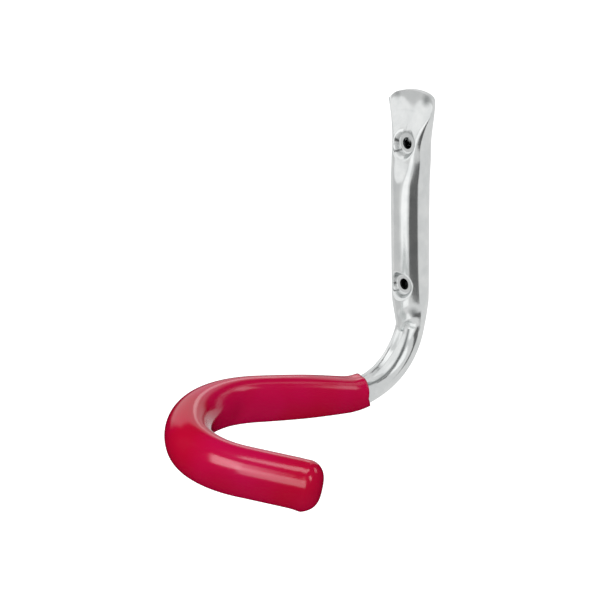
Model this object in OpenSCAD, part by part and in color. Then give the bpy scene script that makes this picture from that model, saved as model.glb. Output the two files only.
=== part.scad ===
// Wall hook that a bicycle hangs on: a bent, zinc-plated steel tube, pressed flat at its
// top end and dished at two screw holes, with a soft closed sleeve over its hooked end.
// The origin is on the wall plane, midway between the two screw holes.
// X runs along the wall, +Y points into the wall, and +Z is up.

/* [Tube] */
// Outside diameter of the round tube
tube_d = 18.2; // [17.4:0.1:19]
// Wall of the tube
tube_wall = 1.2; // [0.8:0.1:1.4]

/* [Shank] */
// Distance between the two screw holes
hole_spacing = 69; // [64:1:90]
// Diameter of each screw hole
hole_d = 5.6; // [4:0.1:6.4]
// From the upper hole up to the middle of the cut end
end_above_hole = 24.6; // [21:0.1:30]
// From the lower hole down to the start of the first bend
bend_below_hole = 16; // [14:0.5:30]
// From the wall to the shank's centre line
shank_off = 8.1; // [7.9:0.05:8.4]
// From the wall to the middle of the flattened end
end_off = 5; // [4:0.1:7]
// Thickness of the flattened end, both walls together
end_thick = 3; // [2.6:0.1:3.6]
// How much the cut end rises from its corners to its middle
end_crown = 3; // [0:0.1:4]
// How much the rounded corners of the cut end drop further
end_corner = 1.8; // [0:0.1:3]

/* [Screw seats] */
// From the wall to the upper hole's pressed seat
upper_seat_off = 10.1; // [9.6:0.1:11]
// From the wall to the lower hole's pressed seat
lower_seat_off = 12.4; // [11:0.1:14]
// Radius of the flat floor of each seat
seat_r = 4.4; // [3.8:0.1:4.8]
// Width of the sloping side round each seat's floor
seat_slope = 2.4; // [1.6:0.1:3]
// Depth of the pressed trough that runs up from the upper seat
trough_depth = 3.2; // [0:0.1:4]

/* [First bend] */
// Radius of the first bend, on the centre line
bend_r = 34; // [32:0.5:50]
// Angle of the first bend, from straight down
bend_angle = 101; // [90:0.5:110]
// Thickness of the tube where the bend has flattened it
bend_thick = 11.6; // [11:0.1:16]
// Width of the tube where the bend has folded it
bend_width = 17.6; // [16:0.1:20]
// Depth of the crease along the inside of the bend
crease_depth = 4.4; // [0:0.1:5]
// How far the bend's plane is turned from square to the wall, in degrees
arm_turn = -10; // [-15:0.5:15]

/* [Hook] */
// Length of the straight arm
arm_len = 48.8; // [30:0.1:80]
// Radius of the hook's wide sweep, on the centre line
sweep_r = 60.4; // [50:0.1:80]
// Angle of the wide sweep
sweep_angle = 71.6; // [40:0.1:80]
// Radius of the hook's tight turn, on the centre line
turn_r = 27; // [24:0.5:40]
// Angle of the tight turn
turn_angle = 69.2; // [40:0.1:80]
// Length of the straight tip
tip_len = 26; // [12:0.5:50]
// How far the hook's plane is banked about the arm, in degrees
hook_bank = -4.6; // [-10:0.5:10]
// How much the curved stretch stands taller than the round tube, on each side
hook_oval = 0.5; // [0:0.1:0.8]
// Depth of the dent on the inside of the sweep
dent_depth = 1; // [0:0.1:1.5]

/* [Sleeve] */
// Wall of the sleeve
sleeve_wall = 1.25; // [1:0.05:2]
// Clearance between the sleeve and the tube
sleeve_gap = 0.15; // [0.1:0.05:0.3]
// Where the sleeve's rim lies, measured back from the end of the first bend
sleeve_back = 11; // [4:0.5:30]
// Length of the sleeve's domed end
dome_len = 7.5; // [5:0.5:9]
// Thickness of the sleeve's closed end, at its middle
dome_wall = 4; // [2:0.5:4.5]

/* [Hidden] */

steel_grey = [0.76, 0.78, 0.78];
grip_red = [0.74, 0.02, 0.10];
bore_facets = 40;
// Points round each ring of the outer skins and of the tube's bore
skin_points = 32;
bore_points = skin_points / 2;
// How far up from the upper hole the bore reaches, as a share of the end's length
bore_share = 0.66;
// How far the points of a ring crowd towards the pressed front of the shank, in degrees
crowding = 20;
tube_r = tube_d / 2;
// The flat on the shank's back comes from pressing a section that would pass the wall
back_press = 0.9;
upper_z = hole_spacing / 2;
lower_z = -hole_spacing / 2;
end_z = upper_z + end_above_hole;
bend_z = lower_z - bend_below_hole;

// Stations along the centre line, in mm from the start of the first bend
at_end = bend_z - end_z;
at_upper = bend_z - upper_z;
at_lower = bend_z - lower_z;
at_arm = bend_r * bend_angle * PI / 180;
at_sweep = at_arm + arm_len;
at_turn = at_sweep + sweep_r * sweep_angle * PI / 180;
at_tip = at_turn + turn_r * turn_angle * PI / 180;
at_tube_end = at_tip + tip_len;
at_rim = at_arm - sleeve_back;
at_dent = at_sweep + 17;
seat_reach = seat_r + seat_slope;
// The bulge of the shank's front ends in a fold, this far into the bend
fold_from = 3;
fold_to = 11;
crease_w = 2.6;
dent_len = 7;
dent_high = 6;

// Each row: [station, front, back, trough depth, trough half-width, squareness, tuck].
// Front and back are heights over the centre line, squareness 2 is an ellipse, and tuck
// is how much the folds take from the half-width that the tube's girth would give.
end_front = end_off + end_thick / 2 - shank_off;
end_back = shank_off - end_off + end_thick / 2;
seat_front = upper_seat_off - shank_off + trough_depth;
pressed_back = shank_off + back_press;
bend_half = bend_thick / 2;
bend_tuck = half_width(bend_half) - bend_width / 2;
hook_half = tube_r + hook_oval;
above = end_above_hole;
trough_tuck = 0.3 * trough_depth;
shapes = [
    [at_end, end_front, end_back, 0, 7, 3.4, 0],
    [at_upper - above * 0.62, end_front + 1.9, end_back + 1.6, trough_depth * 0.4, 6, 3,
        trough_tuck * 0.4],
    [at_upper - above * 0.3, seat_front - 1.2, end_back + 3.6, trough_depth * 0.85, 5.4, 2.7,
        trough_tuck * 0.85],
    [at_upper, seat_front + 1.2, pressed_back, trough_depth, 4.8, 2.5, trough_tuck],
    [at_upper + 9, seat_front + 2.2, pressed_back, trough_depth * 0.5, 3.6, 2.3,
        trough_tuck * 0.4],
    [at_upper + 20, tube_r - 0.1, pressed_back, 0, 3, 2.1, 0],
    [at_lower - 10, tube_r, pressed_back, 0, 3, 2, 0],
    [at_lower + 8, tube_r - 0.4, pressed_back - 0.1, 0, crease_w, 1.9, 0],
    [fold_from - 5, tube_r - 0.9, pressed_back - 0.5, 0, crease_w, 1.7, 0.5],
    [fold_from + 2, tube_r - 2.4, bend_half + 1.6, 0, crease_w, 1.6, bend_tuck * 0.6],
    [fold_to - 1, bend_half - 0.2, bend_half + 0.6, crease_depth * 0.9, crease_w, 1.9,
        bend_tuck],
    [fold_to + 10, bend_half, bend_half, crease_depth, crease_w, 2, bend_tuck],
    [at_rim - 8, bend_half + 0.2, bend_half + 0.2, crease_depth, crease_w, 2, bend_tuck],
    [at_rim, bend_half + 0.9, bend_half + 0.8, crease_depth * 0.8, crease_w, 2,
        bend_tuck * 0.8],
    [at_arm + 8, tube_r - 1, tube_r - 1, crease_depth * 0.2, crease_w, 2, bend_tuck * 0.2],
    [at_arm + 24, tube_r, tube_r, 0, crease_w, 2, 0],
    [at_sweep, hook_half, hook_half, 0, crease_w, 2, 0],
    [at_turn, hook_half, hook_half, 0, crease_w, 2, 0],
    [at_tip, tube_r, tube_r, 0, crease_w, 2, 0],
    [at_tube_end + dome_len, tube_r, tube_r, 0, crease_w, 2, 0]
];

// Stretches of the path and the largest step between rings on each
seat_step = 1.4;
spans = [
    [at_end, at_upper - seat_reach - 1, 2.6],
    [at_upper - seat_reach - 1, at_upper + seat_reach + 1, seat_step],
    [at_upper + seat_reach + 1, at_lower - seat_reach - 1, 5.2],
    [at_lower - seat_reach - 1, at_lower + seat_reach + 1, seat_step],
    [at_lower + seat_reach + 1, fold_from, 2.6],
    [fold_from, fold_to, 1.4],
    [fold_to, at_rim, 4.2]
];
hook_step = 7.6;

function ticks(from, to, step) =
    let(count = ceil((to - from) / step)) [for (i = [0:count - 1]) from + (to - from) * i / count];
function smooth(x) = let(c = min(max(x, 0), 1)) c * c * (3 - 2 * c);

// Smooth curve through one column of the shapes table
function row_slope(k, c) = k == 0 || k == len(shapes) - 1 ? 0 :
    (shapes[k + 1][c] - shapes[k - 1][c]) / (shapes[k + 1][0] - shapes[k - 1][0]);
function row_of(s, k = 0) = k >= len(shapes) - 2 || s < shapes[k + 1][0] ? k : row_of(s, k + 1);
function shape_at(s, c) =
    let(
        k = row_of(s), p = shapes[k], q = shapes[k + 1], span = q[0] - p[0],
        x = min(max((s - p[0]) / span, 0), 1), y = x * x, z = y * x
    )
    p[c] * (2 * z - 3 * y + 1) + q[c] * (3 * y - 2 * z)
    + span * (row_slope(k, c) * (z - 2 * y + x) + row_slope(k + 1, c) * (z - y));

// Half-width of a squeezed section that keeps the round tube's girth
function half_width(half_high) = tube_r * (PI / 2 - (PI / 2 - 1) * pow(half_high / tube_r, 1.68));
function power(x, e) = sign(x) * pow(abs(x), 2 / e);

// How far a point of the front is pressed down onto a seat, from 0 to 1
function seat_share(u, along) = 1 - smooth((norm([u, along]) - seat_r) / seat_slope);

// Outline of the tube at a station: points [across, towards the front]
function outline(s, count, trough_on = 1) =
    let(
        front = shape_at(s, 1), back = shape_at(s, 2), trough = shape_at(s, 3) * trough_on,
        trough_w = shape_at(s, 4), square = shape_at(s, 5),
        wide = half_width((front + back) / 2) - shape_at(s, 6),
        crowd = crowding * smooth((s - at_end) / 12) * (1 - smooth((s - at_rim) / 20)),
        upper_seat = upper_seat_off - shank_off, lower_seat = lower_seat_off - shank_off,
        dent = dent_depth * exp(-pow((s - at_dent) / dent_len, 2))
    )
    [for (i = [0:count - 1])
        let(
            turn = 360 * i / count, a = turn + crowd * cos(turn),
            u = wide * power(cos(a), square), up = sin(a) >= 0,
            h = (up ? front : back) * power(sin(a), square)
                - (up ? trough * exp(-pow(u / trough_w, 2)) : 0),
            k1 = up ? seat_share(u, s - at_upper) : 0,
            k2 = up ? seat_share(u, s - at_lower) : 0,
            h1 = h + (min(upper_seat, h) - h) * k1,
            h2 = h1 + (min(lower_seat, h1) - h1) * k2
        )
        [u - (u > 0 ? dent * exp(-pow(h / dent_high, 2)) : 0), h2]];

// Outline moved outwards by a distance, or inwards by a negative one
function grown(ring, by) =
    let(n = len(ring))
    [for (i = [0:n - 1])
        let(d = ring[(i + 1) % n] - ring[(i + n - 1) % n], m = norm(d))
        ring[i] + by * [d[1], -d[0]] / m];

function turned(v, axis, a) =
    v * cos(a) + cross(axis, v) * sin(a) + axis * (axis * v) * (1 - cos(a));
down = [0, 0, -1];
outwards = [sin(arm_turn), -cos(arm_turn), 0];
arm_dir = down * cos(bend_angle) + outwards * sin(bend_angle);
arm_start = [0, -shank_off, bend_z] + outwards * bend_r * (1 - cos(bend_angle))
    + down * bend_r * sin(bend_angle);
hook_side = turned(cross(outwards, down), arm_dir, hook_bank);

// Angle, forward reach and sideways reach of the hook's plane curve at a station
function hook_turn(s) = s < at_sweep ? 0 : s < at_turn ? (s - at_sweep) / sweep_r * 180 / PI :
    sweep_angle + (min(s, at_tip) - at_turn) / turn_r * 180 / PI;
function hook_plane(s) =
    let(
        a = hook_turn(s), arm = min(s, at_sweep) - at_arm,
        a1 = min(a, sweep_angle), past = max(s - at_tip, 0)
    )
    [arm + sweep_r * sin(a1) + turn_r * (sin(a) - sin(a1)) + past * cos(a),
     sweep_r * (1 - cos(a1)) + turn_r * (cos(a1) - cos(a)) + past * sin(a)];

// Frame at a station: [centre, direction across, direction towards the front]
function frame_at(s) =
    s < at_arm ?
        let(
            a = max(s, 0) / bend_r * 180 / PI,
            side = cross(outwards, down),
            centre = [0, -shank_off, bend_z] + down * (min(s, 0) + bend_r * sin(a))
                + outwards * bend_r * (1 - cos(a)),
            front = outwards * cos(a) - down * sin(a),
            along = down * cos(a) + outwards * sin(a),
            // The pressed shank faces squarely away from the wall, and the bend doesn't
            undo = -arm_turn * (1 - smooth((s + 9) / 12))
        )
        [centre, turned(side, [0, 0, 1], undo), turned(front, [0, 0, 1], undo), along]
    :
        let(
            a = hook_turn(s), q = hook_plane(s),
            along = arm_dir * cos(a) + hook_side * sin(a),
            across = hook_side * cos(a) - arm_dir * sin(a),
            lift = cross(along, across),
            unbank = -hook_bank * (1 - smooth((s - at_arm) / arm_len))
        )
        [arm_start + arm_dir * q[0] + hook_side * q[1],
         turned(across, along, unbank), turned(lift, along, unbank), along];

// Ring of points in space from an outline at a station, kept off the wall by a margin
function placed(ring, s, margin) =
    let(
        f = frame_at(s), wide = half_width(end_thick / 2),
        crown = end_crown * (1 - smooth((s - at_end) / 14)),
        corner = end_corner * (1 - smooth((s - at_end) / 8))
    )
    [for (p = ring)
        let(
            x = p[0] / wide,
            q = f[0] + f[1] * p[0] + f[2] * p[1] + f[3] * (crown * pow(x, 2) + corner * pow(x, 8))
        )
        [q[0], min(q[1], -margin), q[2]]];

function joined(rings) = [for (r = rings) for (p = r) p];
function wall_faces(rings, n, first = 0) =
    [for (k = [0:rings - 2]) for (i = [0:n - 1])
        let(a = first + k * n + i, b = first + k * n + (i + 1) % n)
        for (face = [[a, b + n, b], [a, a + n, b + n]]) face];
function fan(first, n, flip) =
    [for (i = [1:n - 2]) flip ? [first, first + i + 1, first + i]
        : [first, first + i, first + i + 1]];
// Strip that closes a flattened ring, from its front half to its back half
function zip(n) =
    [for (i = [0:n / 2 - 1])
        let(a = i, b = i + 1, c = n - i - 1, d = (n - i) % n)
        for (face = [[a, b, c], [a, c, d]]) if (face[0] != face[1] && face[1] != face[2]
            && face[0] != face[2]) face];

shank_stations = [for (x = spans) for (s = ticks(x[0], x[1], x[2])) s];
hook_stations = concat(ticks(at_rim, at_tube_end, hook_step), [at_tube_end]);

// Bent tube as one skin: down its outside, across its open end and back up its bore,
// which ends where the flattened walls meet
module tube_body() {
    n = skin_points;
    m = bore_points;
    stations = concat(shank_stations, hook_stations);
    outer = [for (s = stations) placed(outline(s, n), s, 0)];
    from = at_upper - end_above_hole * bore_share;
    count = len(stations) - 1;
    bore = [for (k = [count:-1:0]) let(s = stations[k])
        if (s > from && (k == count || k % 2 == 0))
            placed(grown(outline(s, m), -tube_wall), s, tube_wall)];
    lip = (len(outer) - 1) * n;
    mouth = len(outer) * n;
    polyhedron(concat(joined(outer), joined(bore)), concat(
        zip(n),
        wall_faces(len(outer), n),
        [for (j = [0:m - 1])
            let(a = lip + 2 * j, b = a + 1, c = lip + (2 * j + 2) % n,
                d = mouth + j, e = mouth + (j + 1) % m)
            for (face = [[a, d, b], [b, e, c], [b, d, e]]) face],
        wall_faces(len(bore), m, mouth),
        fan(mouth + (len(bore) - 1) * m, m, true)));
}

module hook_tube() {
    color(steel_grey)
    difference() {
        tube_body();
        for (z = [upper_z, lower_z])
            translate([0, 1, z]) rotate([90, 0, 0])
                cylinder(h = shank_off * 2 + tube_r, d = hole_d, $fn = bore_facets);
    }
}

// Outline of the sleeve, which bridges the crease in the tube
function sleeve_ring(s, by) = placed(grown(outline(s, skin_points, 0), by), s, 0);

module grip_sleeve() {
    over = sleeve_gap + sleeve_wall;
    outer = [for (s = hook_stations) sleeve_ring(s, over)];
    // The dome starts where the tube ends, and each of its rings is drawn in along an arc
    dome = [for (a = [18:18:72])
        placed([for (p = outline(at_tube_end, skin_points, 0)) p * (tube_r + over) / tube_r
            * pow(cos(a), 0.7)], at_tube_end + dome_len * sin(a), 0)];
    pole = frame_at(at_tube_end + dome_len)[0];
    inside = [for (k = [len(hook_stations) - 1:-1:0]) sleeve_ring(hook_stations[k], sleeve_gap)];
    floor_ring = sleeve_ring(at_tube_end + dome_len - dome_wall, sleeve_gap);
    n = skin_points;
    shells = concat(outer, dome);
    skin = len(shells) * n;
    rest = concat([floor_ring], inside);
    last = skin + 1 + (len(rest) - 1) * n;
    color(grip_red)
    polyhedron(
        concat(joined(shells), [pole], joined(rest)),
        concat(
            wall_faces(len(shells), n),
            [for (i = [0:n - 1]) [skin - n + i, skin, skin - n + (i + 1) % n]],
            fan(skin + 1, n, false),
            wall_faces(len(rest), n, skin + 1),
            [for (i = [0:n - 1]) for (face = [[last + i, (i + 1) % n, last + (i + 1) % n],
                [last + i, i, (i + 1) % n]]) face]
        )
    );
}

hook_tube();
grip_sleeve();
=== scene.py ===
"""Looks of the wall hook: a bright zinc-plated bent tube with a glossy red closed sleeve.

Lengths are in millimetres until a mesh is made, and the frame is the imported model's:
the origin is on the wall plane midway between the screw holes, +Y into the wall, +Z up.
"""

import bpy
import numpy as np
from mathutils import Matrix, Vector


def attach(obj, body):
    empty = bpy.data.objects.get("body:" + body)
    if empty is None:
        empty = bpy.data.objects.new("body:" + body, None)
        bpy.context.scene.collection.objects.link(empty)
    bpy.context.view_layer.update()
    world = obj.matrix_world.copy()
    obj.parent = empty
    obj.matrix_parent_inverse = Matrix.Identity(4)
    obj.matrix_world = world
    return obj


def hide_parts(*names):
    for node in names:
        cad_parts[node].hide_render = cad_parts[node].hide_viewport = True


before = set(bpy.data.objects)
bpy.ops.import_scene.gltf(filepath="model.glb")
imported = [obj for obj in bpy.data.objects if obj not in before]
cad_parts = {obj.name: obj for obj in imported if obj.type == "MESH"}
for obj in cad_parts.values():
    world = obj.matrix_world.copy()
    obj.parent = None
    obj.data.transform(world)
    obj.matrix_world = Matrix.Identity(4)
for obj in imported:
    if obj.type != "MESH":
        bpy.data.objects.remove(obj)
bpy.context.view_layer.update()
MM = 0.001

# Tube
TUBE_D, TUBE_WALL = 18.2, 1.2
TUBE_R = TUBE_D / 2
# How fast a squeezed section widens
GIRTH_POWER = 1.68

# Shank
HOLE_SPACING, HOLE_D = 69.0, 5.6
END_ABOVE_HOLE, BEND_BELOW_HOLE = 24.6, 16.0
SHANK_OFF, END_OFF, END_THICK, END_CROWN, END_CORNER = 8.1, 5.0, 3.0, 3.0, 1.8
END_CROWN_LEN, END_CORNER_LEN = 14.0, 8.0
UPPER_SEAT_OFF, LOWER_SEAT_OFF = 10.1, 12.4
SEAT_R, SEAT_SLOPE, TROUGH_DEPTH = 4.4, 3.0, 3.2
BACK_PRESS = 0.9
# The tube's inside ends this share of the way from the upper hole to the shut end
BORE_SHARE = 0.66

# First bend
BEND_R, BEND_ANGLE, BEND_THICK, BEND_WIDTH = 34.0, 101.0, 11.6, 17.6
CREASE_DEPTH, CREASE_W, ARM_TURN = 4.4, 2.6, -10.0
# Where the section starts to turn with the arm, and the length of the change
ARM_TURNS = (-9.0, 12.0)
FOLD_FROM, FOLD_TO = 3.0, 11.0
# The shank's bulge ends in a V over the crease: the V's tip, the run of its two sides along
# the tube, how fast the right one bends away, and its step, which softens towards each side
FOLD_TIP, FOLD_MIDDLE, FOLD_LEFT_RUN, FOLD_RIGHT_RUN, FOLD_BENDING = 8.6, 0.8, 9.0, 11.0, 2.5
FOLD_STEP, FOLD_SOFT_RIGHT, FOLD_SOFT_LEFT = 1.3, 10.0, 2.0
# How far the bulge has dropped below the round tube, at four stations along the fold
BULGE_DROPS = np.array([0.9, 2.0, 2.6, 3.0])
# The crease lies off the middle in the bend, and drifts back at the fold and the rim: the
# start and length of each change, those at the rim counted from it
CREASE_MIDDLE, CREASE_SHIFT, CREASE_NEAR_W = -2.3, 1.2, 2.2
BEND_STARTS, BEND_ENDS = (2.0, 8.0), (0.0, 14.0)
FOLD_DRIFT, RIM_DRIFT = (8.0, 18.0), (-18.0, 16.0)
# The painted dark lines: painted shade at the crease's bottom, and a painted dark reflection
# beside it on the near side
CREASE_LINE_W, CREASE_LINE_SHARE = 0.35, 0.6
BESIDE, BESIDE_SHIFT, BESIDE_DRIFT = 6.0, -0.8, (6.0, 26.0)
BESIDE_LINE_W, BESIDE_LINE_SHARE = 0.55, 0.9
# Widths off a line at which nothing of it shows
OFF_LINE = 9.0

# Hook
ARM_LEN, SWEEP_R, SWEEP_ANGLE = 48.8, 60.4, 71.6
TURN_R, TURN_ANGLE, TIP_LEN = 27.0, 69.2, 26.0
HOOK_BANK, HOOK_OVAL = -4.6, 0.5
DENT_DEPTH, DENT_LEN, DENT_HIGH = 1.0, 7.0, 6.0

# Sleeve
SLEEVE_WALL, SLEEVE_GAP, SLEEVE_BACK = 1.25, 0.15, 11.0
DOME_LEN, DOME_WALL, DOME_FULLNESS, DOME_STEP = 7.5, 4.0, 0.7, 6
# How far the rim leans along the tube at its top, underneath and on the near side
RIM_TOP_LEAN, RIM_UNDER_LEAN, RIM_SIDE_LEAN, RIM_SIDE_FROM = 3.0, -2.8, 1.725, -5.0
RIM_LEAN_LEN, RIM_LEAN_STEP = 16.0, 3.0
# The lip that the dipped end keeps at its lowest point, and the soft groove round it
LIP_LEN, LIP_HIGH, LIP_SPREAD = 2.6, 0.9, 0.45
GROOVE_DEPTH, GROOVE_LEN, GROOVE_BACK = 0.1, 1.5, 1.0

# Places along the centre line, from the start of the first bend
UPPER_Z, LOWER_Z = HOLE_SPACING / 2, -HOLE_SPACING / 2
END_Z, BEND_Z = UPPER_Z + END_ABOVE_HOLE, LOWER_Z - BEND_BELOW_HOLE
AT_END, AT_UPPER, AT_LOWER = BEND_Z - END_Z, BEND_Z - UPPER_Z, BEND_Z - LOWER_Z
AT_ARM = BEND_R * np.radians(BEND_ANGLE)
AT_SWEEP = AT_ARM + ARM_LEN
AT_TURN = AT_SWEEP + SWEEP_R * np.radians(SWEEP_ANGLE)
AT_TIP = AT_TURN + TURN_R * np.radians(TURN_ANGLE)
AT_TUBE_END = AT_TIP + TIP_LEN
AT_RIM = AT_ARM - SLEEVE_BACK
AT_DENT = AT_SWEEP + 17

# The line at the bottom of a crease, and how much of the crease the sleeve follows
SHARP_SHARE, SHARP_W, BRIDGED = 0.16, 0.7, 0.2
# Station, place across, depth and reach of the small press marks below the lower seat
PRESSED_SPOTS = [(-1.0, 2.6, 0.45, 2.2), (-3.4, 6.9, 0.5, 2.4)]

# Mesh steps: a station to go to, and the longest step on the way
TUBE_POINTS, SLEEVE_POINTS, SLEEVE_STEP = 160, 112, 1.2
TUBE_STEPS = [(AT_UPPER - 9, 1.0), (AT_UPPER + 9, 0.6), (AT_LOWER - 9, 1.6), (-6.0, 0.6),
              (FOLD_TO + 4, 0.4), (AT_RIM, 1.0), (AT_TUBE_END, 2.0)]
# Degrees by which the points crowd to the sides of the shank and the bend, and where
CROWD, CROWD_IN, CROWD_OUT = 20, 12, 20
CUT_FACETS, CUT_LONG, CUT_MIDDLE, SHARP_ANGLE = 64, 40, -10, 50

# Camera, as seen from the room, from the right and a little above
CAMERA_AZIMUTH, CAMERA_ELEVATION, CAMERA_ROLL = 48.1, 18.3, -1.5
CAMERA_DISTANCE, SENSOR = 695.0, 36.0
PHOTO_SIZE, PHOTO_SCALE = 600.0, 2.028
AIM_POINT = (1.47, 0.16, BEND_Z)
AIM_PIXEL = (424.0, 309.9)

# Stage: a far floor, lamps, and a tent and cards round the object that only reflections see
FLOOR_Z, FLOOR_REACH, FLOOR_GLOW = -420.0, 30000.0, 0.7
# The world's strength to all but the camera
SOFT = 0.6
# Name, place and size in metres, and watts; each aims at the middle of the hook
LAMPS = [
    ("key_light", (0.5, -0.9, 0.9), (0.5, 0.5), 5),
    ("left_light", (-0.9, -0.7, 0.5), (0.4, 0.9), 3.5),
    ("top_light", (0.1, -0.1, 1.1), (0.7, 0.4), 2),
]
LAMPS_AIM = (0, -0.06, 0)
TENT_GLOW, TENT_RADIUS, TENT_FACETS = 0.72, 1600.0, 24
CARDS_ROUND = (0.0, -60.0, -20.0)
# Name, azimuth, elevation, width and height in degrees, distance, and brightness, of the
# cards that the steel mirrors
CARDS = [
    ("low_shade", 69, -14, 56, 22, 400, 0.12),
    ("front_white", 8, -10, 36, 50, 1000, 1.05),
    ("left_grey", -50, -16, 52, 40, 1000, 0.6),
    ("gap_1", 2, 32, 18, 9, 960, 0.16),
    ("gap_2", 11, 42, 16, 11, 960, 0.16),
    ("gap_3", 26, 52, 20, 9, 960, 0.16),
    ("gap_4", 56, 60, 26, 9, 960, 0.16),
    ("gap_5", 90, 65, 22, 9, 960, 0.16),
    ("left_white", -52, 41, 78, 74, 1000, 0.9),
    ("side_white", 40, 36, 34, 28, 1000, 1.1),
    ("front_high", 5, 66, 70, 30, 1000, 0.95),
]
# The same for the cards that only the glossy sleeve mirrors
GLINTS = [
    ("sleeve_front", 19, 40, 42, 38, 800, 5.0),
    ("sleeve_side", 44, 23, 22, 34, 800, 3.2),
    ("sleeve_above", 105, 78, 28, 13, 800, 3.8),
    ("sleeve_right", 92, 38, 16, 24, 800, 4.0),
    ("sleeve_far_right", 160, 30, 24, 18, 800, 2.0),
    ("sleeve_behind", -123, 15, 74, 42, 800, 0.6),
    ("sleeve_fillet", -139, 19, 10, 14, 800, 1.2),
]
# How much of a glint's half-width fades out towards its edges
GLINT_FADE = 0.35

# Finishes
ZINC_DULL, ZINC_BRIGHT = (0.78, 0.80, 0.80, 1), (0.88, 0.895, 0.89, 1)
# The dark tone of the scuff marks, also used for the painted shade and the painted dark reflection
SCUFF_AND_SHADE_TONE = (0.20, 0.215, 0.215, 1)
RED_DEEP, RED_BRIGHT = (0.50, 0.0012, 0.029, 1), (0.55, 0.0012, 0.060, 1)
WHITE, PALE = (1, 1, 1, 1), (0.85, 0.85, 0.85, 1)
# Place, reach and strength of the dark spots in the zinc, and the press ring of each seat: scuff
# marks at the squeezed end's corners, and painted shade in the press marks below the lower seat,
# at the fold's V tip and in the bend
SCUFFS_AND_PAINTED_SHADE = [((9.0, -6.9, 55.2), 4.2, 0.75), ((-9.6, -6.8, 56.4), 3.4, 0.45),
          ((6.9, -13.2, -47.3), 3.6, 0.7), ((2.6, -15.6, -49.4), 3.2, 0.3),
          ((-5.3, -23.8, -75.0), 4.5, 0.35), ((-0.9, -12.0, -58.6), 2.4, 0.6)]
SEAT_RING, SEAT_RING_W, SEAT_RING_SHARE = 5.4, 1.1, 0.9


def smooth(x):
    """0 to 1 along a soft step."""
    c = np.clip(x, 0, 1)
    return c * c * (3 - 2 * c)


def bump(x):
    """1 at 0, falling off on both sides."""
    return np.exp(-np.square(x))


def half_width(half_high):
    """Half-width of a squeezed section that keeps the round tube's girth."""
    return TUBE_R * (np.pi / 2 - (np.pi / 2 - 1) * (half_high / TUBE_R) ** GIRTH_POWER)


BEND_HALF = BEND_THICK / 2
BEND_TUCK = half_width(BEND_HALF) - BEND_WIDTH / 2


def section_table():
    """Front, back, trough depth, trough half-width, squareness and tuck, at stations.
    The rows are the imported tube's own."""
    end_front = END_OFF + END_THICK / 2 - SHANK_OFF
    end_back = SHANK_OFF - END_OFF + END_THICK / 2
    seat_front = UPPER_SEAT_OFF - SHANK_OFF + TROUGH_DEPTH
    back, half, tall = SHANK_OFF + BACK_PRESS, BEND_HALF, TUBE_R + HOOK_OVAL
    depth, above, r, w, tuck = TROUGH_DEPTH, END_ABOVE_HOLE, TUBE_R, CREASE_W, BEND_TUCK
    return np.array([
        (AT_END, end_front, end_back, 0, 7, 3.4, 0),
        (AT_UPPER - above * 0.62, end_front + 1.9, end_back + 1.6, depth * 0.4, 6, 3,
         depth * 0.12),
        (AT_UPPER - above * 0.3, seat_front - 1.2, end_back + 3.6, depth * 0.85, 5.4, 2.7,
         depth * 0.255),
        (AT_UPPER, seat_front + 1.2, back, depth, 4.8, 2.5, depth * 0.3),
        (AT_UPPER + 9, seat_front + 2.2, back, depth * 0.5, 3.6, 2.3, depth * 0.12),
        (AT_UPPER + 20, r - 0.1, back, 0, 3, 2.1, 0),
        (AT_LOWER - 10, r, back, 0, 3, 2, 0),
        (AT_LOWER + 8, r - 0.4, back - 0.1, 0, w, 1.9, 0),
        (FOLD_FROM - 5, r - 0.9, back - 0.5, 0, w, 1.7, 0.5),
        (FOLD_FROM + 2, r - 2.4, half + 1.6, 0, w, 1.6, tuck * 0.6),
        (FOLD_TO - 1, half - 0.2, half + 0.6, CREASE_DEPTH * 0.9, w, 1.9, tuck),
        (FOLD_TO + 10, half, half, CREASE_DEPTH, w, 2, tuck),
        (AT_RIM - 8, half + 0.2, half + 0.2, CREASE_DEPTH, w, 2, tuck),
        (AT_RIM, half + 0.9, half + 0.8, CREASE_DEPTH * 0.8, w, 2, tuck * 0.8),
        (AT_ARM + 8, r - 1, r - 1, CREASE_DEPTH * 0.2, w, 2, tuck * 0.2),
        (AT_ARM + 24, r, r, 0, w, 2, 0),
        (AT_SWEEP, tall, tall, 0, w, 2, 0),
        (AT_TURN, tall, tall, 0, w, 2, 0),
        (AT_TIP, r, r, 0, w, 2, 0),
        (AT_TUBE_END + DOME_LEN, r, r, 0, w, 2, 0),
    ], float)


SECTIONS = section_table()


def section_at(s):
    """The row of the section table at a station, on a smooth curve through the rows."""
    at = SECTIONS[:, 0]
    k = int(np.clip(np.searchsorted(at, s, side="right") - 1, 0, len(at) - 2))
    slopes = np.zeros_like(SECTIONS)
    slopes[1:-1] = (SECTIONS[2:] - SECTIONS[:-2]) / (at[2:] - at[:-2])[:, None]
    span = at[k + 1] - at[k]
    x = np.clip((s - at[k]) / span, 0, 1)
    y, z = x * x, x ** 3
    row = (SECTIONS[k] * (2 * z - 3 * y + 1) + SECTIONS[k + 1] * (3 * y - 2 * z)
           + span * (slopes[k] * (z - 2 * y + x) + slopes[k + 1] * (z - y)))
    return row[1:]


def power(x, e):
    """A cosine or sine reshaped for a squarer section than a round one, at e above 2."""
    return np.sign(x) * np.abs(x) ** (2 / e)


def crease(u, w):
    """Depth of a trough across the tube, from 0 to 1, with a sharp line at its bottom."""
    return (1 - SHARP_SHARE) * bump(u / w) + SHARP_SHARE * np.exp(-np.abs(u) / SHARP_W)


def passed(s, change):
    """How far a change has gone at a station, from 0 to 1."""
    start, length = change
    return smooth((s - start) / length)


def in_bend(s):
    """1 in the bend, 0 in the shank and under the sleeve."""
    return passed(s, BEND_STARTS) * (1 - passed(s - AT_RIM, BEND_ENDS))


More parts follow.
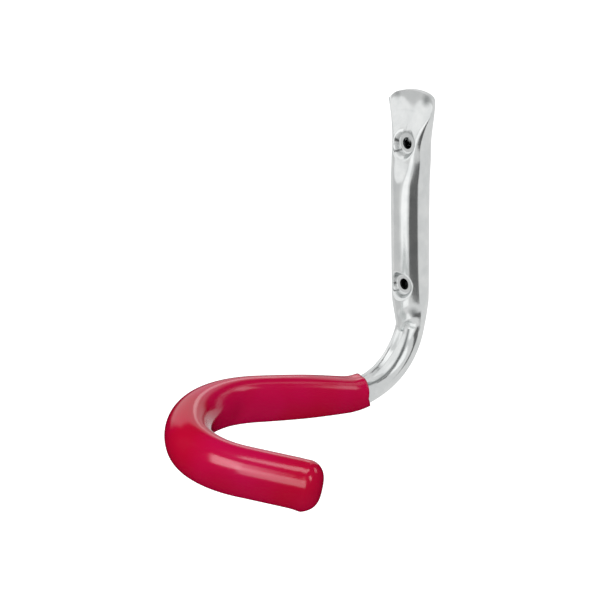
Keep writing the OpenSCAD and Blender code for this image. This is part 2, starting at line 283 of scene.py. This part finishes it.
def crease_middle(s):
    """Where the crease lies across the tube: off the middle in the bend."""
    drift = 1 - passed(s, FOLD_DRIFT) + passed(s - AT_RIM, RIM_DRIFT)
    return (CREASE_MIDDLE + CREASE_SHIFT * drift) * in_bend(s)


def beside_crease(s):
    """Where the painted dark reflection line beside the crease lies across the tube."""
    return BESIDE + BESIDE_SHIFT * (1 - passed(s, BESIDE_DRIFT))


def front_of(s, u, rise, wide, row):
    """Height of the tube's front, which folds over into the bend's crease in a V."""
    front, _, trough, trough_w = row[:4]
    middle = crease_middle(s)
    w = np.where(u > middle, trough_w + (CREASE_NEAR_W - trough_w) * in_bend(s), trough_w)
    plain = front * rise - trough * crease(u - middle, w)
    if not FOLD_FROM - 5 < s < FOLD_TO + 10:
        return plain
    ends = [FOLD_FROM - 5, FOLD_TO - 1, FOLD_TO + 10]
    bulge = np.interp(s, [ends[0], FOLD_FROM + 2, FOLD_FROM + 8, ends[2]],
                      TUBE_R - BULGE_DROPS) * rise
    valley = (np.interp(s, ends, [BEND_HALF + 0.4, BEND_HALF - 0.2, BEND_HALF]) * rise
              - np.interp(s, ends, [CREASE_DEPTH * 0.8, CREASE_DEPTH * 0.9, CREASE_DEPTH])
              * crease(u - middle, w))
    x = (u - FOLD_MIDDLE) / wide
    right_run = FOLD_RIGHT_RUN * (1 - np.exp(-FOLD_BENDING * np.abs(x)))
    edge = FOLD_TIP - np.where(x > 0, right_run, -FOLD_LEFT_RUN * x)
    step = (FOLD_STEP + FOLD_SOFT_RIGHT * np.clip(x, 0, 1) ** 3
            + FOLD_SOFT_LEFT * np.clip(-x, 0, 1) ** 2)
    return bulge + (np.minimum(bulge, valley) - bulge) * smooth((s - edge) / step)


def outline(s, count, bare=True):
    """Outside of the tube at a station, bare or as the sleeve bridges its crease:
    points across and towards the front."""
    row = section_at(s)
    front, back, trough, trough_w, square, tuck = row
    wide = half_width((front + back) / 2) - tuck
    turn = np.radians(np.arange(count) * 360 / count)
    crowd = CROWD * smooth((s - AT_END) / CROWD_IN) * (1 - smooth((s - AT_RIM) / CROWD_OUT))
    a = turn + np.radians(crowd) * np.cos(turn)
    u = wide * power(np.cos(a), square)
    up = np.sin(a) >= 0
    rise = power(np.abs(np.sin(a)), square)
    if bare:
        h = np.where(up, front_of(s, u, rise, wide, row), -back * rise)
        for at, across, depth, reach in PRESSED_SPOTS:
            h = h - np.where(up, depth * bump(np.hypot(u - across, s - at) / reach), 0)
    else:
        h = np.where(up, front * rise - trough * BRIDGED * bump(u / trough_w), -back * rise)
    for at, off in ((AT_UPPER, UPPER_SEAT_OFF), (AT_LOWER, LOWER_SEAT_OFF)):
        share = 1 - smooth((np.hypot(u, s - at) - SEAT_R) / SEAT_SLOPE)
        h = h + np.where(up, (np.minimum(off - SHANK_OFF, h) - h) * share, 0)
    dent = DENT_DEPTH * bump((s - AT_DENT) / DENT_LEN)
    u = u - np.where(u > 0, dent * bump(h / DENT_HIGH), 0)
    return np.stack([u, h], 1)


def grown(ring, by):
    """An outline moved outwards by a distance, or inwards by a negative one."""
    d = np.roll(ring, -1, 0) - np.roll(ring, 1, 0)
    out = np.stack([d[:, 1], -d[:, 0]], 1) / np.linalg.norm(d, axis=1)[:, None]
    return ring + by * out


def turned(v, axis, degrees):
    return np.array(Matrix.Rotation(np.radians(degrees), 3, Vector(axis)) @ Vector(v))


DOWN = np.array([0.0, 0.0, -1.0])
OUTWARDS = np.array([np.sin(np.radians(ARM_TURN)), -np.cos(np.radians(ARM_TURN)), 0.0])
SIDE = np.cross(OUTWARDS, DOWN)


def bend_place(s):
    """Centre and directions along the straight shank and the first bend."""
    a = max(s, 0) / BEND_R
    centre = (np.array([0, -SHANK_OFF, BEND_Z]) + DOWN * (min(s, 0) + BEND_R * np.sin(a))
              + OUTWARDS * BEND_R * (1 - np.cos(a)))
    return centre, DOWN * np.cos(a) + OUTWARDS * np.sin(a), OUTWARDS * np.cos(a) - DOWN * np.sin(a)


ARM_START, ARM_DIR, ARM_UP = bend_place(AT_ARM)
HOOK_SIDE = turned(SIDE, ARM_DIR, HOOK_BANK)


def frame_at(s):
    """Centre, across, towards the front and along, at a station."""
    if s < AT_ARM:
        centre, along, front = bend_place(s)
        undo = -ARM_TURN * (1 - passed(s, ARM_TURNS))
        return centre, turned(SIDE, (0, 0, 1), undo), turned(front, (0, 0, 1), undo), along
    a = np.clip(s - AT_SWEEP, 0, AT_TURN - AT_SWEEP) / SWEEP_R
    b = a + np.clip(s - AT_TURN, 0, AT_TIP - AT_TURN) / TURN_R
    past = max(s - AT_TIP, 0)
    ahead = (min(s, AT_SWEEP) - AT_ARM + SWEEP_R * np.sin(a) + TURN_R * (np.sin(b) - np.sin(a))
             + past * np.cos(b))
    aside = SWEEP_R * (1 - np.cos(a)) + TURN_R * (np.cos(a) - np.cos(b)) + past * np.sin(b)
    along = ARM_DIR * np.cos(b) + HOOK_SIDE * np.sin(b)
    across = HOOK_SIDE * np.cos(b) - ARM_DIR * np.sin(b)
    unbank = -HOOK_BANK * (1 - smooth((s - AT_ARM) / ARM_LEN))
    return (ARM_START + ARM_DIR * ahead + HOOK_SIDE * aside, turned(across, along, unbank),
            turned(np.cross(along, across), along, unbank), along)


def placed(ring, s, margin=0.0):
    """Points in space of an outline at a station, kept off the wall by a margin."""
    centre, across, front, along = frame_at(s)
    x = ring[:, 0] / half_width(END_THICK / 2)
    lower = (END_CROWN * (1 - smooth((s - AT_END) / END_CROWN_LEN)) * x ** 2
             + END_CORNER * (1 - smooth((s - AT_END) / END_CORNER_LEN)) * x ** 8)
    q = centre + ring[:, :1] * across + ring[:, 1:] * front + lower[:, None] * along
    q[:, 1] = np.minimum(q[:, 1], -margin)
    return q


def stations(a, b, step):
    """Even stations from one to another, no further apart than a step."""
    return np.linspace(a, b, int(np.ceil((b - a) / step)) + 1)


def loft_faces(rings, n, first=0):
    """The quads that join rings of n points."""
    return [(first + k * n + i, first + k * n + (i + 1) % n,
             first + (k + 1) * n + (i + 1) % n, first + (k + 1) * n + i)
            for k in range(rings - 1) for i in range(n)]


def new_object(name, points, faces, material):
    mesh = bpy.data.meshes.new(name)
    mesh.from_pydata([tuple(p) for p in np.asarray(points) * MM], [], faces)
    mesh.validate()
    for polygon in mesh.polygons:
        polygon.use_smooth = True
    obj = bpy.data.objects.new(name, mesh)
    bpy.context.scene.collection.objects.link(obj)
    obj.data.materials.append(material)
    return obj


def make_tube(material):
    """The bent tube, with both skins, its two seats bored through and its end squeezed shut."""
    n = TUBE_POINTS
    at = [AT_END]
    for to, step in TUBE_STEPS:
        at += list(stations(at[-1], to, step)[1:])
    outer = [placed(outline(s, n), s) for s in at]
    bore_from = AT_UPPER - END_ABOVE_HOLE * BORE_SHARE
    bored = [s for s in at if s > bore_from]
    inner = [placed(grown(outline(s, n), -TUBE_WALL), s, TUBE_WALL) for s in bored]
    shift = len(at) - len(bored)
    points = np.concatenate(outer + inner)
    first_inner = len(at) * n
    faces = loft_faces(len(at), n)
    inside = [f[::-1] for f in loft_faces(len(bored), n, first_inner)]
    # The open end under the sleeve
    lip, mouth = (len(at) - 1) * n, first_inner + (len(bored) - 1) * n
    faces += [(lip + i, lip + (i + 1) % n, mouth + (i + 1) % n, mouth + i) for i in range(n)]
    inside += [tuple(first_inner + i for i in range(n))]
    # The cut end, with the seam of the squeezed walls along it
    end_face = []
    for i in range(n // 2):
        quad = [i, i + 1, n - i - 1, (n - i) % n]
        end_face.append(tuple(dict.fromkeys(quad[::-1])))
    faces += end_face
    tube = new_object("bent_tube", points, faces + inside, material)
    # How far each point lies off the two painted dark lines, the painted crease shade and the
    # painted reflection beside it, in their widths
    for name, middle, width in (("crease_line", crease_middle, CREASE_LINE_W),
                                ("beside_line", beside_crease, BESIDE_LINE_W)):
        off = np.full(len(points), OFF_LINE)
        for k, s in enumerate(at):
            if FOLD_TIP - 2 < s < AT_RIM + 6:
                half = slice(k * n, k * n + n // 2)
                off[half] = (outline(s, n)[:n // 2, 0] - middle(s)) / width
        tube.data.attributes.new(name, "FLOAT", "POINT").data.foreach_set("value", off)
    bore_screw_holes(tube)
    return tube


def bore_screw_holes(tube):
    """Cuts both screw holes through both walls."""
    for name, z in (("upper_bore", UPPER_Z), ("lower_bore", LOWER_Z)):
        bpy.ops.mesh.primitive_cylinder_add(
            vertices=CUT_FACETS, radius=HOLE_D / 2 * MM, depth=CUT_LONG * MM,
            location=(0, CUT_MIDDLE * MM, z * MM), rotation=(np.pi / 2, 0, 0))
        cutter = bpy.context.object
        cutter.name = name
        cut = tube.modifiers.new(name, "BOOLEAN")
        cut.operation, cut.solver, cut.object = "DIFFERENCE", "EXACT", cutter
        bpy.context.view_layer.objects.active = tube
        bpy.ops.object.modifier_apply(modifier=name)
        bpy.data.objects.remove(cutter)
    for polygon in tube.data.polygons:
        polygon.use_smooth = True
    tube.data.set_sharp_from_angle(angle=np.radians(SHARP_ANGLE))


def skewed(s, by):
    """A ring of the sleeve's skin, whose rim leans along the tube: towards the bend at its
    top and underneath, and away from it on the near side."""
    ring = grown(outline(s, SLEEVE_POINTS, False), by)
    lean = (np.where(ring[:, 1] > 0, RIM_TOP_LEAN, RIM_UNDER_LEAN) * ring[:, 1]
            - RIM_SIDE_LEAN * np.maximum(ring[:, 0] - RIM_SIDE_FROM, 0)) / TUBE_R
    shift = lean * (1 - smooth((s - AT_RIM) / RIM_LEAN_LEN))
    side = np.where(shift > 0, -1.0, 1.0)[:, None] * RIM_LEAN_STEP
    before, after = (placed(grown(outline(at, SLEEVE_POINTS, False), by), at)
                     for at in (s - RIM_LEAN_STEP, s + RIM_LEAN_STEP))
    moved = np.where(side < 0, before, after)
    share = (np.abs(shift) / RIM_LEAN_STEP)[:, None]
    return placed(ring, s) * (1 - share) + moved * share


def end_detail(s):
    """The lip and the groove near the sleeve's closed end, as moves of a ring's points."""
    _, across, front, _ = frame_at(s)
    turn = np.radians(np.arange(SLEEVE_POINTS) * 360 / SLEEVE_POINTS)
    out = np.cos(turn)[:, None] * across + np.sin(turn)[:, None] * front
    lip = LIP_HIGH * bump((s - AT_TUBE_END) / LIP_LEN) * bump((turn - 1.5 * np.pi) / LIP_SPREAD)
    groove = GROOVE_DEPTH * bump((s - AT_TUBE_END + GROOVE_BACK) / GROOVE_LEN)
    return (lip - groove)[:, None] * out


def make_sleeve(material):
    """The soft sleeve, a closed shell with a domed end."""
    n = SLEEVE_POINTS
    over = SLEEVE_GAP + SLEEVE_WALL
    at = stations(AT_RIM, AT_TUBE_END, SLEEVE_STEP)
    outer = [skewed(s, over) + end_detail(s) for s in at]
    dome = []
    for a in np.radians(np.arange(DOME_STEP, 90, DOME_STEP)):
        ring = outline(AT_TUBE_END, n, False) * (TUBE_R + over) / TUBE_R
        ring = ring * np.cos(a) ** DOME_FULLNESS
        s = AT_TUBE_END + DOME_LEN * np.sin(a)
        dome.append(placed(ring, s) + end_detail(s) * np.cos(a))
    floor = placed(grown(outline(AT_TUBE_END, n, False), SLEEVE_GAP),
                   AT_TUBE_END + DOME_LEN - DOME_WALL)
    inner = [floor] + [skewed(s, SLEEVE_GAP) for s in at[::-1]]
    shells = outer + dome
    pole = frame_at(AT_TUBE_END + DOME_LEN)[0]
    points = np.concatenate(shells + [pole[None]] + inner)
    skin = len(shells) * n
    last = skin + 1 + (len(inner) - 1) * n
    faces = loft_faces(len(shells), n) + loft_faces(len(inner), n, skin + 1)
    faces += [(skin - n + i, skin - n + (i + 1) % n, skin) for i in range(n)]
    faces += [tuple(skin + 1 + i for i in range(n))[::-1]]
    faces += [(last + i, last + (i + 1) % n, (i + 1) % n, i) for i in range(n)]
    return new_object("red_sleeve", points, faces, material)


class Value:
    """A shader socket that can be used in Python expressions."""

    def __init__(self, tree, socket):
        self.tree, self.socket = tree, socket

    def math(self, operation, *others):
        return self.tree.node("Math", {"operation": operation}, {
            i: v for i, v in enumerate((self,) + others)})

    def __add__(self, other):
        return self.math("ADD", other)

    def __mul__(self, other):
        return self.math("MULTIPLY", other)

    def __sub__(self, other):
        return self.math("SUBTRACT", other)

    def __rsub__(self, other):
        return self.tree.node("Math", {"operation": "SUBTRACT"}, {0: other, 1: self})

    __radd__, __rmul__ = __add__, __mul__


class Shader:
    """A material whose nodes are made through one method."""

    def __init__(self, name):
        self.material = bpy.data.materials.new(name)
        self.material.use_nodes = True
        self.nodes = self.material.node_tree.nodes
        self.links = self.material.node_tree.links
        self.surface = self.nodes["Principled BSDF"]

    def node(self, kind, settings=None, inputs=None, output=0):
        """Adds a node with its settings and the values or links of its sockets."""
        made = self.nodes.new("ShaderNode" + kind)
        for key, value in (settings or {}).items():
            if key == "stops":
                self.set_stops(made.color_ramp, value)
            else:
                setattr(made, key, value)
        for key, value in (inputs or {}).items():
            self.feed(made.inputs[key], value)
        return Value(self, made.outputs[output])

    def set_stops(self, ramp, stops):
        while len(ramp.elements) < len(stops):
            ramp.elements.new(1.0)
        for element, (place, colour) in zip(ramp.elements, stops):
            element.position = place
            element.color = colour if isinstance(colour, tuple) else (colour,) * 3 + (1,)

    def feed(self, socket, value):
        if isinstance(value, Value):
            self.links.new(value.socket, socket)
        else:
            socket.default_value = value

    def set(self, **sockets):
        for key, value in sockets.items():
            self.feed(self.surface.inputs[key.replace("_", " ")], value)

    def noise(self, scale, detail=3.0, stretch=(1, 1, 1), roughness=0.5):
        where = self.node("TexCoord", output=3)
        where = self.node("VectorMath", {"operation": "MULTIPLY"}, {0: where, 1: stretch})
        return self.node("TexNoise", {}, {
            "Vector": where, "Scale": scale, "Detail": detail, "Roughness": roughness})

    def fading(self, value, start, end):
        """1 up to a start, fading smoothly to 0 at an end."""
        return self.node("MapRange", {"interpolation_type": "SMOOTHSTEP"}, {
            "Value": value, "From Min": start, "From Max": end, "To Min": 1.0, "To Max": 0.0})

    def spot(self, place, reach):
        """1 at a place on the part, in mm, fading to 0 at a distance."""
        where = self.node("TexCoord", output=3)
        away = self.node("VectorMath", {"operation": "DISTANCE"}, {
            0: where, 1: tuple(c * MM for c in place)}, 1)
        return self.fading(away, 0.0, reach * MM)

    def ring(self, middle, radius, width):
        """1 on a ring about a line square to the wall, in mm, fading to 0 either side."""
        where = self.node("TexCoord", output=3)
        flat = self.node("VectorMath", {"operation": "MULTIPLY"}, {0: where, 1: (1, 0, 1)})
        away = self.node("VectorMath", {"operation": "DISTANCE"}, {
            0: flat, 1: (middle[0] * MM, 0, middle[1] * MM)}, 1)
        return self.fading((away - radius * MM).math("ABSOLUTE"), 0.0, width * MM)

    def ramp(self, value, *stops):
        return self.node("ValToRGB", {"stops": stops}, {0: value})

    def blend(self, share, first, second):
        return self.node("Mix", {"data_type": "RGBA"}, {0: share, 6: first, 7: second}, 2)


def zinc_plate():
    """Bright zinc over drawn steel: finely grained, cloudy, and scuffed where it was pressed, with
    painted shade in the press marks, at the fold's V tip, in the bend and along the crease's
    bottom, and a painted dark reflection beside the crease.
    """
    m = Shader("zinc_plate")
    clouds = m.noise(150, 4)
    fine = m.noise(1500, 4, roughness=0.7)
    speckle = m.noise(3800, 2, roughness=0.8)
    drawn = m.noise(700, 3, stretch=(1, 1, 0.06))
    tone = m.blend(m.ramp(clouds, (0.35, 0.0), (0.68, 1.0)), ZINC_DULL, ZINC_BRIGHT)
    ragged = fine * 0.8 + 0.6
    scuffs_and_shade = 0.0
    # Scuff marks at the end's corners, and painted shade at the press marks, the fold's V tip and
    # the bend
    for place, reach, strength in SCUFFS_AND_PAINTED_SHADE:
        scuffs_and_shade = m.spot(place, reach) * ragged * strength + scuffs_and_shade
    for z in (UPPER_Z, LOWER_Z):
        scuffs_and_shade = m.ring((0, z), SEAT_RING, SEAT_RING_W) * fine * SEAT_RING_SHARE + scuffs_and_shade
    # Painted shade along the crease's bottom and a painted dark reflection beside it, darkening
    # the zinc
    for name, share in (("crease_line", CREASE_LINE_SHARE), ("beside_line", BESIDE_LINE_SHARE)):
        off = m.node("Attribute", {"attribute_name": name}, output=2)
        scuffs_and_shade = (off * off * -1).math("EXPONENT") * share + scuffs_and_shade
    # The zinc darkens towards the dark tone by the scuff marks and press rings, and by the painted
    # shade and painted dark reflection
    tone = m.blend(scuffs_and_shade.math("MINIMUM", 1.0), tone, SCUFF_AND_SHADE_TONE)
    rough = clouds * 0.05 + speckle * 0.10 + scuffs_and_shade * 0.15 + 0.06
    height = speckle * 0.5 + fine * 0.3 + drawn * 0.25
    normal = m.node("Bump", {}, {"Strength": 0.12, "Distance": 0.00016, "Height": height})
    m.set(Base_Color=tone, Metallic=1.0, Roughness=rough, Normal=normal)
    return m.material


def soft_red():
    """Dipped soft PVC: deep crimson under a smooth, glossy, faintly uneven skin."""
    m = Shader("soft_red")
    slow = m.noise(22, 2)
    grain = m.noise(700, 3)
    tone = m.blend(m.ramp(slow, (0.40, 0.0), (0.62, 1.0)), RED_DEEP, RED_BRIGHT)
    rough = slow * 0.06 + grain * 0.04 + 0.10
    normal = m.node("Bump", {}, {"Strength": 0.20, "Distance": 0.0012,
                                 "Height": slow * 0.9 + grain * 0.015})
    m.set(Base_Color=tone, Roughness=rough, Normal=normal)
    m.set(IOR=1.5, Specular_IOR_Level=0.5)
    return m.material


def make_lamp(name, place, size, watts):
    """A soft lamp that reflections don't see."""
    data = bpy.data.lights.new(name, "AREA")
    data.shape, data.size, data.size_y = "RECTANGLE", size[0], size[1]
    data.energy = watts
    lamp = bpy.data.objects.new(name, data)
    lamp.location = place
    aim = Vector(LAMPS_AIM) - Vector(place)
    lamp.rotation_euler = aim.to_track_quat("-Z", "Y").to_euler()
    lamp.visible_glossy = False
    bpy.context.scene.collection.objects.link(lamp)


def make_world():
    """White behind the object, and a plain softer light on it."""
    world = bpy.data.worlds.new("studio")
    bpy.context.scene.world = world
    world.use_nodes = True
    nodes, links = world.node_tree.nodes, world.node_tree.links
    background = nodes["Background"]
    path = nodes.new("ShaderNodeLightPath")
    strength = nodes.new("ShaderNodeMath")
    strength.operation, strength.inputs[1].default_value = "MAXIMUM", SOFT
    links.new(path.outputs["Is Camera Ray"], strength.inputs[0])
    background.inputs["Color"].default_value = WHITE
    links.new(strength.outputs[0], background.inputs["Strength"])


def make_camera():
    """The photo's view: a point of the part seen at its pixel, from a direction."""
    az, el, roll = np.radians([CAMERA_AZIMUTH, CAMERA_ELEVATION, CAMERA_ROLL])
    back = np.array([np.sin(az) * np.cos(el), -np.cos(az) * np.cos(el), np.sin(el)])
    right = np.array([np.cos(az), np.sin(az), 0])
    up = np.cross(back, right)
    right, up = np.cos(roll) * right + np.sin(roll) * up, np.cos(roll) * up - np.sin(roll) * right
    half = PHOTO_SIZE / 2
    place = (np.array(AIM_POINT) - right * (AIM_PIXEL[0] - half) / PHOTO_SCALE
             + up * (AIM_PIXEL[1] - half) / PHOTO_SCALE + back * CAMERA_DISTANCE)
    data = bpy.data.cameras.new("photo_view")
    data.sensor_width = SENSOR
    data.lens = PHOTO_SCALE * CAMERA_DISTANCE * SENSOR / PHOTO_SIZE
    camera = bpy.data.objects.new("photo_view", data)
    camera.matrix_world = Matrix((
        (right[0], up[0], back[0], place[0] * MM),
        (right[1], up[1], back[1], place[1] * MM),
        (right[2], up[2], back[2], place[2] * MM),
        (0, 0, 0, 1)))
    bpy.context.scene.collection.objects.link(camera)
    bpy.context.scene.camera = camera


def white_floor():
    """A pale floor that shows as the white background and still takes a shadow."""
    m = Shader("pale_floor")
    m.set(Base_Color=PALE, Roughness=0.9)
    camera_ray = m.node("LightPath", output=0)
    glow = m.node("Emission", {}, {"Color": WHITE, "Strength": camera_ray * FLOOR_GLOW})
    both = m.node("AddShader", {}, {0: Value(m, m.surface.outputs[0]), 1: glow})
    m.feed(m.nodes["Material Output"].inputs["Surface"], both)
    return m.material


def card_glow(name, brightness, fade=None):
    """A plain glow on a dark sheet that stops reflections, or, where it fades out towards
    its edges, on a clear sheet that they pass."""
    m = Shader(name)
    strength = brightness
    if fade is not None:
        axes = m.node("SeparateXYZ", {}, {0: m.node("TexCoord", output=3)}).socket.node
        for axis in (0, 1):
            off = Value(m, axes.outputs[axis]).math("ABSOLUTE")
            strength = m.fading(off, 1 - fade, 1.0) * strength
    glow = m.node("Emission", {}, {"Color": WHITE, "Strength": strength})
    if fade is not None:
        glow = m.node("AddShader", {}, {0: m.node("BsdfTransparent"), 1: glow})
    m.feed(m.nodes["Material Output"].inputs["Surface"], glow)
    return m.material


def reflected_only(card, seen_by):
    """Keeps a card to the reflections of one piece."""
    card.visible_camera = card.visible_diffuse = card.visible_shadow = False
    card.light_linking.receiver_collection = seen_by


def make_cards(cards, seen_by, fade=None):
    """Flat cards that face the hook from all round."""
    for name, azimuth, elevation, width, height, distance, brightness in cards:
        a, e = np.radians([azimuth, elevation])
        towards = np.array([np.sin(a) * np.cos(e), -np.cos(a) * np.cos(e), np.sin(e)])
        across = np.array([np.cos(a), np.sin(a), 0])
        upward = np.cross(across, towards)
        centre = np.array(CARDS_ROUND) + towards * distance
        half_w, half_h = distance * np.tan(np.radians([width / 2, height / 2]))
        corners = np.array([(-1, -1, 0), (1, -1, 0), (1, 1, 0), (-1, 1, 0)]) / MM
        card = new_object(name, corners, [(0, 1, 2, 3)], card_glow(name, brightness, fade))
        turn = np.stack([across * half_w, upward * half_h, towards, centre], 1) * MM
        card.matrix_world = Matrix([*turn.tolist(), (0, 0, 0, 1)])
        reflected_only(card, seen_by)


def make_tent(seen_by):
    """A pale tent all round, which the steel mirrors."""
    n = TENT_FACETS
    points = []
    for e in np.radians(np.linspace(-88, 88, n // 2)):
        for a in np.arange(n) * 2 * np.pi / n:
            points.append(np.array(CARDS_ROUND) + TENT_RADIUS * np.array(
                [np.cos(a) * np.cos(e), np.sin(a) * np.cos(e), np.sin(e)]))
    faces = loft_faces(n // 2, n) + [tuple(range(n))[::-1]]
    faces.append(tuple(range((n // 2 - 1) * n, n // 2 * n)))
    tent = new_object("pale_tent", points, faces, card_glow("pale_tent", TENT_GLOW))
    reflected_only(tent, seen_by)


def make_stage(tube, sleeve):
    """The floor, and what each piece mirrors."""
    x, z = FLOOR_REACH, FLOOR_Z
    corners = [(-x, -x, z), (x, -x, z), (x, x, z), (-x, x, z)]
    floor = new_object("pale_floor", corners, [(0, 1, 2, 3)], white_floor())
    floor.visible_glossy = False
    seen_by = {}
    for piece in (tube, sleeve):
        seen_by[piece.name] = bpy.data.collections.new("reflected_in_" + piece.name)
        seen_by[piece.name].objects.link(piece)
    make_tent(seen_by[tube.name])
    make_cards(CARDS, seen_by[tube.name])
    make_cards(GLINTS, seen_by[sleeve.name], GLINT_FADE)


make_camera()
make_world()
for lamp in LAMPS:
    make_lamp(*lamp)

tube = make_tube(zinc_plate())
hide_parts("hook_tube")
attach(tube, "root")
sleeve = make_sleeve(soft_red())
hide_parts("grip_sleeve")
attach(sleeve, "root")
# The steel mirrors no red
sleeve.visible_glossy = False
make_stage(tube, sleeve)

view = bpy.context.scene.view_settings
view.view_transform = "Standard"
